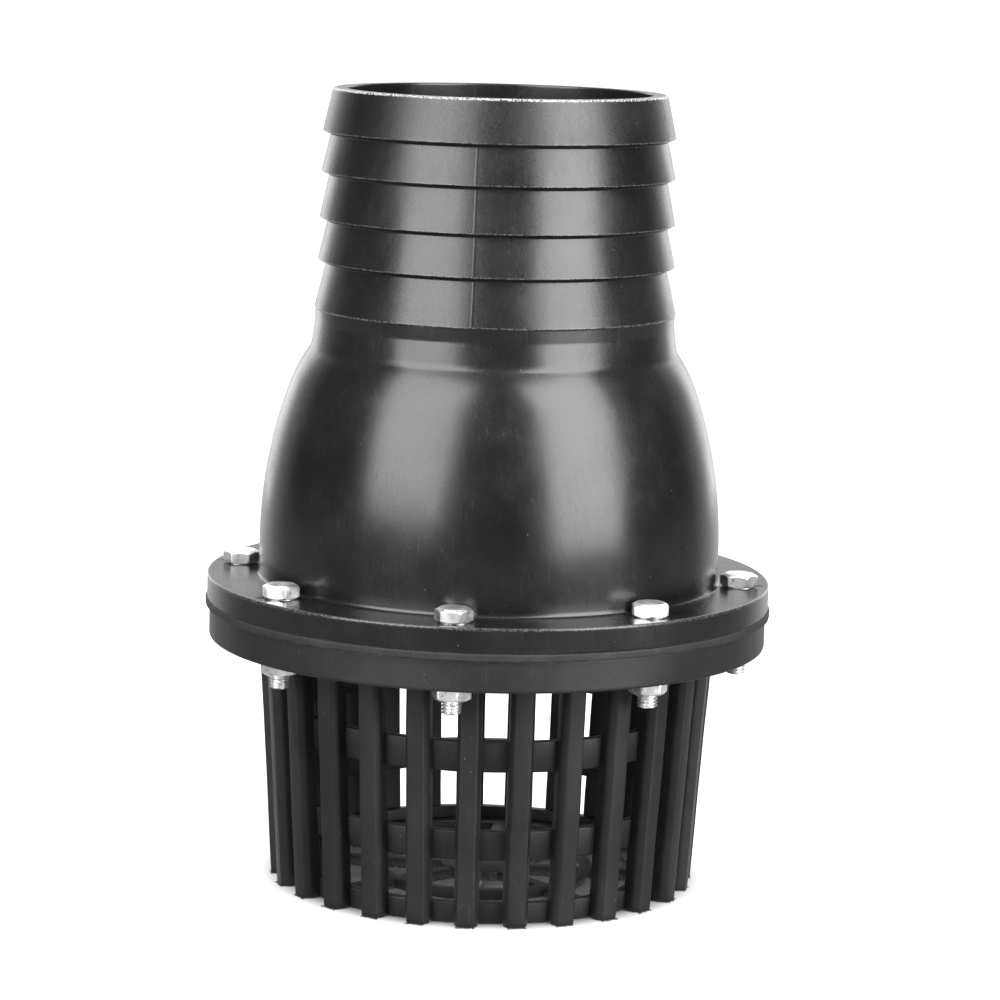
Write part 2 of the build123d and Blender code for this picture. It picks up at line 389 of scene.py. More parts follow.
def streaks(tree, vector, turn_deg, threshold):
    """Thin straight scratches running upwards, leaning by turn_deg: 1 on a scratch, 0 beside it."""
    turned = tree.nodes.new("ShaderNodeMapping")
    turned.inputs["Rotation"].default_value = (0, math.radians(turn_deg), math.radians(turn_deg / 2))
    tree.links.new(vector, turned.inputs["Vector"])
    lines = noise_node(tree, turned.outputs["Vector"], 1.9, detail=2.0, stretch=(1.0, 1.0, 0.045))
    return spread(tree, lines, threshold, threshold + 0.05, 0, 1)


def flash_and_painted_highlight_mask(tree, broken, low, high):
    """Pale moulding flash, and on the body the painted highlights, where the mesh is marked for them, broken
    up by noise.
    """
    marked = tree.nodes.new("ShaderNodeAttribute")
    marked.attribute_name = "flash_and_painted_highlight"
    return combine(tree, "MULTIPLY", marked.outputs["Fac"], spread(tree, broken, low, high, 0, 1))


def hose_rub(tree, vector):
    """How far hoses have rubbed the outside of the tail: most on the top barb, none on the rim or inside."""
    parts = tree.nodes.new("ShaderNodeSeparateXYZ")
    tree.links.new(vector, parts.inputs[0])
    height = parts.outputs["Z"]
    level = tree.nodes.new("ShaderNodeVectorMath")
    level.operation = "MULTIPLY"
    level.inputs[1].default_value = (1, 1, 0)
    tree.links.new(vector, level.inputs[0])
    radius = tree.nodes.new("ShaderNodeVectorMath")
    radius.operation = "LENGTH"
    tree.links.new(level.outputs[0], radius.inputs[0])
    outside = spread(tree, radius.outputs["Value"], BORE_FOOT_R, BORE_FOOT_R + 1, 0, 1)
    rubbed = combine(tree, "ADD", spread(tree, height, NECK_TOP_Z - 1, NECK_TOP_Z + 1, 0, 0.5),
                     spread(tree, height, TOP_LIP_Z - 1, TOP_LIP_Z + 1, 0, 0.8))
    rubbed = combine(tree, "MULTIPLY", rubbed, outside)
    return combine(tree, "MULTIPLY", rubbed, spread(tree, height, RIM_Z - 0.8, RIM_Z - 0.4, 1, 0))


def moulded_plastic(name, dark, pale, rough_low, rough_high, grain, wear):
    """Black moulded polyethylene: mottled gloss, scratches, a little dust, and pale flash on its edges, with
    painted highlights on the body's rim and dome foot.
    """
    made, tree, shader, here = material(name)
    mottle = noise_node(tree, here, 0.05, detail=6.0)
    fine = noise_node(tree, here, 1.8, detail=3.0, roughness=0.7)
    drawn = noise_node(tree, here, 0.9, detail=4.0, roughness=0.7, stretch=(1.0, 1.0, 0.05))
    scratch = combine(tree, "MAXIMUM", streaks(tree, here, 3, 0.66), streaks(tree, here, 38, 0.68))
    scratch = combine(tree, "MAXIMUM", scratch, streaks(tree, here, -52, 0.69))
    scratch = combine(tree, "MULTIPLY", scratch, spread(tree, mottle, 0.42, 0.60, 0.15, 1))
    dusty = combine(tree, "MAXIMUM", specks(tree, here, 0.42, 0.07, 0.12 * wear),
                    specks(tree, here, 1.2, 0.10, 0.07 * wear))
    speckle = noise_node(tree, here, 2.2, detail=3.0, roughness=0.8)
    speckle = combine(tree, "MULTIPLY", hose_rub(tree, here), spread(tree, speckle, 0.35, 0.65, 0, 1))

    colour = blend_colour(tree, spread(tree, mottle, 0.35, 0.65, 0, 1), dark, pale)
    scuffed = tuple(c * 2.2 + 0.006 for c in pale)
    colour = blend_colour(tree, combine(tree, "MULTIPLY", scratch, 0.35 * wear), colour, scuffed)
    colour = blend_colour(tree, combine(tree, "MULTIPLY", dusty, 0.7), colour, (0.15, 0.145, 0.135))
    # Pale colour of moulding flash, and of the painted highlights on the body's rim and dome foot
    colour = blend_colour(tree, flash_and_painted_highlight_mask(tree, fine, 0.44, 0.60), colour, (0.36, 0.36, 0.35))
    tree.links.new(colour, shader.inputs["Base Color"])

    rough = spread(tree, mottle, 0.3, 0.7, rough_low, rough_high)
    rough = combine(tree, "ADD", rough, spread(tree, drawn, 0.35, 0.7, -0.01, 0.03))
    rough = combine(tree, "ADD", rough, combine(tree, "MULTIPLY", dusty, 0.3))
    rough = combine(tree, "ADD", rough, combine(tree, "MULTIPLY", scratch, 0.08))
    rough = combine(tree, "ADD", rough, combine(tree, "MULTIPLY", speckle, 0.11))
    tree.links.new(rough, shader.inputs["Roughness"])

    normal = bump(tree, fine, 0.02, grain)
    normal = bump(tree, speckle, 0.012, 0.8, normal)
    normal = bump(tree, drawn, 0.04, grain, normal)
    normal = bump(tree, mottle, 0.25, 0.3, normal)
    normal = bump(tree, combine(tree, "SUBTRACT", 1.0, scratch), 0.012, 0.5, normal)
    tree.links.new(normal, shader.inputs["Normal"])
    return made


def rubber(name):
    """Dull black rubber sheet with a fine crazed skin and a grey bloom."""
    made, tree, shader, here = material(name)
    bloom = noise_node(tree, here, 0.09, detail=5.0)
    skin = noise_node(tree, here, 1.2, detail=6.0, roughness=0.7)
    bloomed = spread(tree, bloom, 0.35, 0.7, 0, 1)
    colour = blend_colour(tree, bloomed, (0.004, 0.004, 0.004), (0.009, 0.009, 0.0088))
    colour = blend_colour(tree, combine(tree, "MULTIPLY", specks(tree, here, 0.6, 0.10, 0.14), 0.7),
                          colour, (0.17, 0.165, 0.155))
    colour = blend_colour(tree, flash_and_painted_highlight_mask(tree, skin, 0.56, 0.64), colour, (0.22, 0.215, 0.20))
    tree.links.new(colour, shader.inputs["Base Color"])
    tree.links.new(spread(tree, skin, 0.3, 0.7, 0.58, 0.82), shader.inputs["Roughness"])
    tree.links.new(bump(tree, skin, 0.10, 0.5), shader.inputs["Normal"])
    return made


def zinc(name):
    """Bright zinc-plated steel, slightly clouded, with fine turning marks and a few dark stains."""
    made, tree, shader, here = material(name)
    cloud = noise_node(tree, here, 0.35, detail=5.0)
    stain = noise_node(tree, here, 0.9, detail=4.0, roughness=0.7)
    grain = noise_node(tree, here, 3.0, detail=3.0, stretch=(1.0, 1.0, 3.0))
    colour = blend_colour(tree, spread(tree, cloud, 0.3, 0.7, 0, 1), (0.80, 0.81, 0.83), (0.95, 0.95, 0.94))
    colour = blend_colour(tree, spread(tree, stain, 0.61, 0.65, 0, 0.9), colour, (0.16, 0.155, 0.15))
    tree.links.new(colour, shader.inputs["Base Color"])
    shader.inputs["Metallic"].default_value = 1.0
    tree.links.new(spread(tree, cloud, 0.3, 0.7, 0.30, 0.46), shader.inputs["Roughness"])
    normal = bump(tree, grain, 0.02, 0.25)
    tree.links.new(bump(tree, cloud, 0.10, 0.2, normal), shader.inputs["Normal"])
    return made


# The floor glows of itself only away from the part: how far out the glow starts and is full
FLOOR_GLOW = (59.0, 71.0)


def pale_floor(name):
    """Plain matt white floor with the faintest unevenness and a little glow of its own."""
    made, tree, shader, here = material(name)
    cloud = noise_node(tree, here, 0.01, detail=3.0)
    colour = blend_colour(tree, cloud, (0.22, 0.22, 0.22), (0.24, 0.24, 0.24))
    tree.links.new(colour, shader.inputs["Base Color"])
    tree.links.new(spread(tree, cloud, 0.3, 0.7, 0.85, 0.95), shader.inputs["Roughness"])
    tree.links.new(bump(tree, cloud, 0.2, 0.1), shader.inputs["Normal"])
    shader.inputs["Specular IOR Level"].default_value = 0.1
    shader.inputs["Emission Color"].default_value = (1, 1, 1, 1)
    distance = tree.nodes.new("ShaderNodeVectorMath")
    distance.operation = "LENGTH"
    tree.links.new(here, distance.inputs[0])
    glow = spread(tree, distance.outputs["Value"], *FLOOR_GLOW, 0, 1)
    tree.links.new(glow, shader.inputs["Emission Strength"])
    return made


BODY_PLASTIC = moulded_plastic("body_plastic", (0.0030, 0.0030, 0.0032), (0.0052, 0.0052, 0.0054),
                               0.20, 0.29, 0.10, 0.8)
BASKET_PLASTIC = moulded_plastic("basket_plastic", (0.0028, 0.0028, 0.0030), (0.0048, 0.0048, 0.0050),
                                 0.42, 0.54, 0.8, 2.2)
RUBBER = rubber("black_rubber")
ZINC = zinc("zinc_plate")


def dress(obj, made, body="housing", nodes=()):
    """Gives a piece its material and its body, and hides the CAD nodes it stands for."""
    obj.data.materials.clear()
    obj.data.materials.append(made)
    if body is not None:
        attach(obj, body)
    if nodes:
        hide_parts(*nodes)


def mark_flash_and_painted_highlight(obj, amount):
    """Marks where pale moulding flash and painted highlights show: amount(x, y, z) in millimetres gives how
    much.
    """
    layer = obj.data.attributes.new("flash_and_painted_highlight", "FLOAT", "POINT")
    values = [amount(v.co.x / MM, v.co.y / MM, v.co.z / MM) for v in obj.data.vertices]
    layer.data.foreach_set("value", values)


# ---------------------------------------------------------------- valve body

MOULD_SEAMS = (math.radians(90), math.radians(270))


def on_arc(centre, radius, tilt):
    """Point of an arc whose normal there is tilted up by tilt degrees."""
    angle = math.radians(tilt)
    return (centre[0] + radius * math.cos(angle), centre[1] + radius * math.sin(angle))


def arc_points(centre, radius, start_tilt, end_tilt, steps):
    """Outline points along an arc, after its start; a negative radius makes it concave."""
    span = end_tilt - start_tilt
    return [(*on_arc(centre, radius, start_tilt + span * k / steps), 0) for k in range(1, steps + 1)]


def body_outline():
    """Closed outline of the hollow body: flange, dome, neck, barbed tail, bore and inner dome."""
    dome_centre = (DOME_R - DOME_ARC_R, DOME_SHOULDER_Z)
    bend_tilt = math.degrees(math.asin((SHOULDER_BEND_Z - DOME_SHOULDER_Z) / DOME_ARC_R))
    bend_centre = on_arc(on_arc(dome_centre, DOME_ARC_R, bend_tilt), -BEND_ARC_R, bend_tilt)
    bend_end = on_arc(bend_centre, BEND_ARC_R, BEND_END_TILT)
    fillet_centre = on_arc(bend_end, NECK_FILLET_R, BEND_END_TILT)
    neck_foot = on_arc(fillet_centre, -NECK_FILLET_R, NECK_TAPER_DEG)
    neck_z = neck_foot[1] + (neck_foot[0] - NECK_R) / math.tan(math.radians(NECK_TAPER_DEG))
    inner_bend_r = BEND_ARC_R - DOME_WALL
    inner_tilt = math.degrees(math.acos((BORE_FOOT_R - bend_centre[0]) / inner_bend_r))

    points = [(DOME_R - DOME_WALL, SHEET_TOP_Z, 0.3), (UPPER_FLANGE_R, SHEET_TOP_Z, 0.3),
              (UPPER_FLANGE_R, FLANGE_TOP_Z, 0.6), (DOME_R + DOME_FOOT_FILLET + SUPPORT_GAP, FLANGE_TOP_Z, 0),
              (DOME_R, FLANGE_TOP_Z, DOME_FOOT_FILLET), (DOME_R, DOME_SHOULDER_Z, 0)]
    points += arc_points(dome_centre, DOME_ARC_R, 0, bend_tilt, 24)
    points += arc_points(bend_centre, BEND_ARC_R, bend_tilt, BEND_END_TILT, 12)
    points += arc_points(fillet_centre, -NECK_FILLET_R, BEND_END_TILT, NECK_TAPER_DEG, 8)
    points += [(NECK_R, neck_z, 0)]
    for lip_z, lip_r, root_r in reversed(BARB_LIPS):
        step = LAST_STEP if root_r == NECK_R else BARB_STEP
        points += [(root_r, lip_z - step, 0.3 * step), (lip_r, lip_z, 0.1)]
    points += [(RIM_OUTER_R, RIM_Z, 0.7), (BORE_TOP_R, RIM_Z, 0.5)]
    points += [(*on_arc(bend_centre, inner_bend_r, inner_tilt), 1.0)]
    points += arc_points(bend_centre, inner_bend_r, inner_tilt, bend_tilt, 8)
    points += arc_points(dome_centre, DOME_ARC_R - DOME_WALL, bend_tilt, 0, 16)
    return supported(rounded(points))


def seam_ridge(angle):
    """1 on a moulding seam, falling to 0 within half a degree of it."""
    nearest = min(abs((angle - seam + math.pi) % math.tau - math.pi) for seam in MOULD_SEAMS)
    return max(0.0, 1 - math.degrees(nearest) / 0.4)


def body_shape(r, z, angle):
    """Unevenness of the moulding: soft waves, a fine seam up the tail, and ragged barb lips."""
    x, y = turned(r, 0, angle)
    outside = z > FLANGE_TOP_Z + 1 and r > RIM_OUTER_R - 1
    r -= 0.03 + wobble(x, y, z, 0.05, 0.02)
    if outside:
        r += wobble(x, y, z, 0.012, 0.05)
        if NECK_TOP_Z < z < TOP_LIP_Z - BARB_STEP:
            r += 0.04 * seam_ridge(angle)
        near_lip = min(abs(z - lip_z) for lip_z, _, _ in BARB_LIPS)
        if near_lip < 0.3:
            r += wobble(x, y, z, 0.9, 0.06) + wobble(x, y, z, 0.25, 0.06)
            z += wobble(y, x, z, 0.4, 0.10)
    return r, min(z, RIM_Z - 0.02)


def body_flash_and_painted_highlight(x, y, z):
    """Flash shows on the barb lips and the flange's edges; a pale painted highlight runs along the rim's
    outer edge, paler on the -Y side towards the camera, and a thin painted highlight line circles the dome's
    foot.
    """
    r = math.hypot(x, y)
    for lip_z, lip_r, _ in BARB_LIPS:
        if r > lip_r - 0.3 and abs(z - lip_z) < 0.25:
            return 0.18
    # Painted highlight: a pale line on the rim's outer edge, strongest on the -Y side facing the camera and
    # weakest at the back
    if z > RIM_Z - 0.6 and r > RIM_OUTER_R - 0.8:
        return 0.9 - 0.5 * y / r
    # Painted highlight: a thin pale line along the dome's foot fillet
    if abs(r - DOME_R - DOME_FOOT_FILLET) < 0.25 and abs(z - FLANGE_TOP_Z) < 0.2:
        return 0.3
    if r > UPPER_FLANGE_R - 0.8 and (z > FLANGE_TOP_Z - 0.8 or z < SHEET_TOP_Z + 0.25):
        return 0.12
    return 0.0


def make_body():
    """The body moulding."""
    bm = bmesh.new()
    lathe(bm, body_outline(), lathe_angles(288, MOULD_SEAMS), body_shape)
    obj = finished(bm, "body_moulding", 38)
    drill(obj, SHEET_TOP_Z, FLANGE_TOP_Z)
    mark_flash_and_painted_highlight(obj, body_flash_and_painted_highlight)
    dress(obj, BODY_PLASTIC, nodes=("valve_body",))


# ---------------------------------------------------------------- strainer basket

def bar_section():
    """Points (radial, sideways) round one bar's bevelled section, with rounded corners, at height 0."""
    right = [(BAR_FACE_R, BAR_FACE_WIDTH / 2, 0.5), (BAR_FACE_R - BAR_BEVEL_DEPTH, BAR_WIDTH / 2, 0.6),
             (BAR_FACE_R - BAR_DEPTH, BAR_BACK_WIDTH / 2, 0.5)]
    left = [(radial, -side, corner) for radial, side, corner in reversed(right)]
    return rounded(right + left, 3)


def add_bar(bm, number, angle):
    """One bar, standing on a slightly rounded foot and running up into the flange."""
    section = bar_section()
    middle = Vector((BAR_FACE_R - BAR_DEPTH / 2, 0))
    top = FLANGE_LOW_Z + 0.6
    heights = [0.0, 0.15, 0.5] + [2 + (top - 2) * k / 14 for k in range(15)]
    shrink = {0.0: 0.45, 0.15: 0.18}
    rings = []
    for z in heights:
        ring = []
        for point in section:
            inward = (middle - point).normalized() * shrink.get(z, 0.0)
            radial = point.x + inward.x + BASKET_TAPER * z
            side = point.y + inward.y
            radial += wobble(number * 7.3, z, point.x, 0.07, 0.14) - 0.07
            side += wobble(z, number * 5.1, 3.0, 0.06, 0.18)
            ring.append(Vector((*turned(radial, side, angle), z)) * MM)
        rings.append(ring)
    loft(bm, rings)


def ring_outline(inner_r, outer_r, low, high, corner=0.35, lean=0.0):
    """Closed outline of a ring; lean tilts its walls outwards with height."""
    return rounded([(inner_r + lean * low, low, corner), (outer_r + lean * low, low, corner),
                    (outer_r + lean * high, high, corner), (inner_r + lean * high, high, corner)], 3)


def add_spoke(bm, angle):
    """One spoke of the floor, with softened top edges."""
    half = SPOKE_WIDTH / 2
    low = SPOKE_INSET
    high = FLOOR_THICK - SPOKE_INSET
    section = rounded([(-half, low, 0.15), (half, low, 0.15), (half, high, 0.5), (-half, high, 0.5)], 3)
    rings = []
    for k in range(9):
        radial = HUB_R * 0.8 + (SPOKE_END_R - HUB_R * 0.8) * k / 8
        ring = []
        for side, z in section:
            side += wobble(radial, angle * 9, 1.0, 0.15, 0.15)
            ring.append(Vector((*turned(radial, side, angle), z)) * MM)
        rings.append(ring)
    loft(bm, rings)


def add_flash(bm, number, angle):
    """A ragged fin of moulding flash along one bar's foot."""
    side_of_bar = 1 if number % 2 else -1
    base_r = BAR_FACE_R - 0.2
    fin = []
    for k in range(7):
        side = (k / 6 - 0.5) * BAR_FACE_WIDTH * 1.15 + side_of_bar * 0.2
        out = 0.45 + wobble(number * 3.7, k * 1.3, 0.0, 1.0, 0.75)
        fin.append((side, max(0.1, out)))
    rings = []
    for side, out in fin:
        ring = []
        for radial, z in ((base_r, 0.05), (base_r + out, 0.05), (base_r + out * 0.9, 0.18), (base_r, 0.3)):
            ring.append(Vector((*turned(radial, side, angle), z)) * MM)
        rings.append(ring)
    loft(bm, rings)


def basket_flash(x, y, z):
    """Flash shows on the feet and on the flange's edges."""
    r = math.hypot(x, y)
    if z < 0.3:
        return 0.3
    if r > LOWER_FLANGE_R - 0.5 and (z > SEAT_FACE_Z - 0.3 or abs(z - FLANGE_LOW_Z) < 0.3):
        return 0.06
    return 0.0


def hoop_shape(r, z, angle):
    """Slight unevenness of a hoop or floor ring, never below the feet."""
    x, y = turned(r, 0, angle)
    z += wobble(x, y, z, 0.10, 0.16) if z > 0.6 else 0
    return r + wobble(x, y, z, 0.08, 0.12), max(z, 0.0)


def flange_shape(r, z, angle):
    """Slight hollows in the lower flange's edges."""
    x, y = turned(r, 0, angle)
    return r - abs(wobble(x, y, z, 0.07, 0.12)), z


def basket_flange(angles):
    """A bmesh of the drilled lower flange with its rebate for the seat plate."""
    bm = bmesh.new()
    edge = LOWER_FLANGE_R - 0.05
    outline = rounded([(FLANGE_BORE_R, FLANGE_LOW_Z, 0.5), (edge, FLANGE_LOW_Z, 0.7),
                       (edge, SEAT_FACE_Z, 0.3), (REBATE_R, SEAT_FACE_Z, 0.2),
                       (REBATE_R, SEAT_LOW_Z, 0.2), (FLANGE_BORE_R, SEAT_LOW_Z, 0.3)])
    lathe(bm, supported(outline), angles, flange_shape)
    obj = finished(bm, "basket_flange")
    drill(obj, FLANGE_LOW_Z, SEAT_FACE_Z)
    mesh = obj.data
    drilled = bmesh.new()
    drilled.from_mesh(mesh)
    bpy.data.objects.remove(obj)
    bpy.data.meshes.remove(mesh)
    return drilled


def make_basket():
    """The basket moulding: flange, bars, hoops and floor grid."""
    angles = lathe_angles(216, MOULD_SEAMS)
    bm = basket_flange(angles)
    hoop_radii = (BAR_FACE_R - RING_DEPTH, BAR_FACE_R - RING_SETBACK)
    for low, high in HOOP_SPANS:
        lathe(bm, ring_outline(*hoop_radii, low, high, 0.4, BASKET_TAPER), angles, hoop_shape)
    for inner_r, outer_r in FLOOR_RINGS:
        lathe(bm, ring_outline(inner_r, outer_r, 0, FLOOR_THICK), angles, hoop_shape)
    hub = rounded([(0.02, 0, 0), (HUB_R, 0, 0.3), (HUB_R, FLOOR_THICK, 0.5), (0.02, FLOOR_THICK, 0)])
    lathe(bm, hub, angles[::3], hoop_shape)
    for i in range(SPOKE_COUNT):
        add_spoke(bm, math.tau * i / SPOKE_COUNT)
    first = math.radians(BAR_PHASE_DEG - 90)
    for i in range(BAR_COUNT):
        angle = first + math.tau * i / BAR_COUNT
        add_bar(bm, i, angle)
        add_flash(bm, i, angle)
    obj = finished(bm, "basket_moulding")
    mark_flash_and_painted_highlight(obj, basket_flash)
    dress(obj, BASKET_PLASTIC, nodes=("strainer_basket",))


# ---------------------------------------------------------------- rubber sheet

def gasket_shape(r, z, angle):
    """The clamped ring's outer edge is ragged and stands just proud of the flanges."""
    if r > UPPER_FLANGE_R - 3:
        x, y = turned(r, 0, angle)
        r -= 0.2 + wobble(x, y, z, 0.06, 0.2) + wobble(x, y, z, 0.9, 0.2)
        r = min(r, GASKET_R - 0.02)
    return r, z


def gasket_flash(x, y, z):
    """Pale threads of the rubber's fabric show along the lower edge of the cut."""
    return 0.3 if math.hypot(x, y) > GASKET_R - 0.9 and z < SEAT_FACE_Z + 0.4 else 0.0


def make_gasket():
    """The clamped ring of the rubber sheet."""
    bm = bmesh.new()
    outline = rounded([(SHEET_INNER_R, SEAT_FACE_Z, 0.2), (GASKET_R, SEAT_FACE_Z, 0.5),
                       (GASKET_R, SHEET_TOP_Z, 0.5), (SHEET_INNER_R, SHEET_TOP_Z, 0.2)])
    lathe(bm, supported(outline), lathe_angles(480), gasket_shape)
    obj = finished(bm, "rubber_gasket", 50)
    drill(obj, SEAT_FACE_Z, SHEET_TOP_Z)
    mark_flash_and_painted_highlight(obj, gasket_flash)
    dress(obj, RUBBER, nodes=("gasket_ring",))


def flap_half_width(y):
    """Half the rubber's width at a distance y along the flap, disc and hinge web in one."""
    disc = math.sqrt(max(FLAP_R ** 2 - y ** 2, 0.0))
    if y < 0:
        return disc
    join = math.sqrt(FLAP_R ** 2 - WEB_HALF_WIDTH ** 2)
    fillet = WEB_HALF_WIDTH + WEB_FILLET * math.exp(-max(0.0, y - join) / 2.0)
    return max(disc, fillet if y > join else WEB_HALF_WIDTH)


def make_flap():
    """Flap disc and hinge web in one flat sheet."""
    rows = [-FLAP_R * math.cos(math.pi / 2 * k / 30) for k in range(30)]
    end_y = math.sqrt(SHEET_INNER_R ** 2 - WEB_HALF_WIDTH ** 2)
    rows += [end_y * k / 44 for k in range(45)]
    across = 28
    thick = SHEET_TOP_Z - SEAT_FACE_Z
    bm = bmesh.new()
    layers = []
    for level in (0.0, 0.12, 0.5, 0.88, 1.0):
        inset = 0.25 if level in (0.0, 1.0) else 0.0
        layer = []
        z = SEAT_FACE_Z + thick * level
        for y in rows:
            half = max(flap_half_width(y) - inset, 0.3)
            at = max(y, -FLAP_R + 0.1 + inset)
            row = [Vector((half * (2 * k / across - 1), at, z)) * MM for k in range(across + 1)]
            layer.append([bm.verts.new(point) for point in row])
        layers.append(layer)
    for layer in (layers[0], layers[-1]):
        for a, b in zip(layer, layer[1:]):
            for k in range(across):
                bm.faces.new((a[k], a[k + 1], b[k + 1], b[k]))
    for under, over in zip(layers, layers[1:]):
        for a, b, c, d in zip(under, under[1:], over, over[1:]):
            bm.faces.new((a[0], b[0], d[0], c[0]))
            bm.faces.new((a[-1], b[-1], d[-1], c[-1]))
        for first, second in ((under[0], over[0]), (under[-1], over[-1])):
            for k in range(across):
                bm.faces.new((first[k], first[k + 1], second[k + 1], second[k]))
    obj = finished(bm, "rubber_flap", 50)
    dress(obj, RUBBER, body=None, nodes=("flap_disc", "hinge_web"))
    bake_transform(obj)


# ---------------------------------------------------------------- screws and nuts

def hex_radius(angle, flats):
    """Radius of a hexagon with slightly rounded corners, a flat facing along X."""
    turned = (angle + math.pi / 6) % (math.pi / 3) - math.pi / 6
    sharp = flats / 2 / math.cos(turned)
    limit = flats / math.sqrt(3) * 0.988
    return min(sharp, limit)


def thread_radius(angle, z, shank_r, pitch):
    """Radius of a right-hand 60 degree thread at an angle and height."""
    depth = THREAD_DEPTH * pitch
    phase = (z / pitch - angle / math.tau) % 1.0
    ridge = 1 - abs(2 * phase - 1)
    return shank_r - depth * (1 - min(1.0, ridge * 1.25))


def round_rows(bm, rows, count, place):
    """Adds a closed solid of rows of (radius function, height), joined and capped."""
    rings = []
    for radius, z in rows:
        ring = []
        for i in range(count):
            angle = math.tau * i / count
            r = radius(angle)
            ring.append(place @ (Vector((r * math.cos(angle), r * math.sin(angle), z)) * MM))
        rings.append(ring)
    loft(bm, rings)


def hex_rows(flats, low, high, low_face, high_face):
    """Rows of a hexagonal prism with its corners turned off; each face is given as a share of the flats."""
    slope = math.tan(math.radians(CROWN_DEG))
    steps = 8

    def rows_at(face):
        """Pairs of a row's radius and its depth from the end, from the face to the full corners."""
        face_r = flats / 2 * face
        reach = (flats / math.sqrt(3) - face_r) * slope
        depths = [reach * k / steps for k in range(steps + 1)]
        return [(lambda angle, limit=face_r + depth / slope: min(hex_radius(angle, flats), limit), depth)
                for depth in depths]

    rows = [(radius, low + depth) for radius, depth in rows_at(low_face)]
    rows += [(radius, high - depth) for radius, depth in reversed(rows_at(high_face))]
    return rows


def make_screw(name, size, top_z, head, tip_z, place, body, node):
    """Hexagon head screw with a washer face, a plain shank and a real thread at its end."""
    bm = bmesh.new()
    seat_z = top_z - head
    round_rows(bm, hex_rows(size["flats"], seat_z + 0.12, top_z, SMALL_CROWN, LARGE_CROWN), 96, place)
    washer_r = size["flats"] / 2 * 0.93
    round_rows(bm, [(lambda a: washer_r, seat_z), (lambda a: washer_r, seat_z + 0.25)], 48, place)

    pitch = size["pitch"]
    shank_r = size["shank_r"]
    threaded = min(12 * pitch, seat_z - tip_z - 0.5)
    core_r = shank_r - THREAD_DEPTH * pitch
    rows = [(lambda a: core_r * 0.90, tip_z)]
    per_turn = 10
    count = int(threaded / pitch * per_turn)
    for k in range(count + 1):
        z = tip_z + 0.12 + k * pitch / per_turn
        limit = core_r * 0.92 + (z - tip_z) * 2
        rows.append((lambda a, z=z, limit=limit: min(thread_radius(a, z, shank_r, pitch), limit), z))
    rows.append((lambda a: shank_r, tip_z + threaded + 0.4))
    rows.append((lambda a: shank_r, seat_z + 0.1))
    round_rows(bm, rows, 32, place)
    obj = finished(bm, name, 25)
    dress(obj, ZINC, body, (node,))


def make_nut(name, size, top_z, low_z, place, body, node):
    """Hexagon nut, crowned on both faces, with a countersunk plain bore."""
    bm = bmesh.new()
    bore_r = size["shank_r"] + 0.04
    count = 96
    outer = hex_rows(size["flats"], low_z, top_z, LARGE_CROWN, SMALL_CROWN)
    inner = [(lambda a: bore_r + 0.4, top_z), (lambda a: bore_r, top_z - 0.5),
             (lambda a: bore_r, low_z + 0.5), (lambda a: bore_r + 0.4, low_z)]
    rows = []
    for radius, z in outer + inner:
        ring = []
        for i in range(count):
            angle = math.tau * i / count
            r = radius(angle)
            ring.append(bm.verts.new(place @ (Vector((r * math.cos(angle), r * math.sin(angle), z)) * MM)))
        rows.append(ring)
    for i, ring in enumerate(rows):
        following = rows[(i + 1) % len(rows)]
        for k in range(count):
            m = (k + 1) % count
            bm.faces.new((ring[k], ring[m], following[m], following[k]))
    obj = finished(bm, name, 25)
    dress(obj, ZINC, body, (node,))


def make_fasteners():
    """The flange's eight screws and nuts, and the flap's own."""
    for i in range(BOLT_COUNT):
        place = bolt_place(i)
        head_place = place @ Matrix.Rotation(math.radians(HEAD_TURNS[i]), 4, "Z")
        nut_place = place @ Matrix.Rotation(math.radians(NUT_TURNS[i]), 4, "Z")
        bolt = f"flange_bolt_{i + 1}"
        nut = f"flange_nut_{i + 1}"
        make_screw(f"screw_{i + 1}", M6, top_mm(bolt), SCREW_HEAD, low_mm(bolt), head_place, "housing", bolt)
        make_nut(f"nut_{i + 1}", M6, top_mm(nut), low_mm(nut), nut_place, "housing", nut)
    head = top_mm("flap_bolt") - top_mm("flap_washer")
    still = Matrix.Identity(4)
    make_screw("flap_screw", M8, top_mm("flap_bolt"), head, low_mm("flap_bolt"), still, "flap", "flap_bolt")
    make_nut("flap_screw_nut", M8, top_mm("flap_nut"), low_mm("flap_nut"), still, "flap", "flap_nut")


# ---------------------------------------------------------------- pieces kept from the CAD

def keep_cad_pieces():
    """Plates, washer and seat keep their CAD shape and get a finished surface."""
    for node, made in (("seat_plate", BASKET_PLASTIC), ("flap_top_plate", ZINC), ("flap_bottom_plate", ZINC),
                       ("flap_washer", ZINC)):
        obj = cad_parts[node]
        obj.data.materials.clear()
        obj.data.materials.append(made)


# ---------------------------------------------------------------- stage, light and camera

FLOOR_HALF_SIZE = 24.0
LIGHT_TARGET = (0, 0, 0.12)
# The backdrop's brightness: cosine from the line of sight where it fades, its reflected
# brightness at those two, and its brightness for matt surfaces
BACKDROP_EDGE = (0.5, 0.85)
BACKDROP_GLOSS = (0.08, 1.0)
BACKDROP_DIFFUSE = 0.9
# The white table's reflected brightness below the level, and the slope where it fades
TABLE_EDGE = (-0.02, -0.12)
TABLE_GLOSS = (0.08, 0.32)


def make_stage():
    """Plain pale floor, wide enough to pass under every view, that shows no horizon in reflections."""
    bm = bmesh.new()
    bmesh.ops.create_grid(bm, x_segments=4, y_segments=4, size=FLOOR_HALF_SIZE)
    floor = finished(bm, "floor")
    floor.data.materials.append(pale_floor("floor_white"))
    floor.visible_glossy = False
    floor.visible_shadow = False


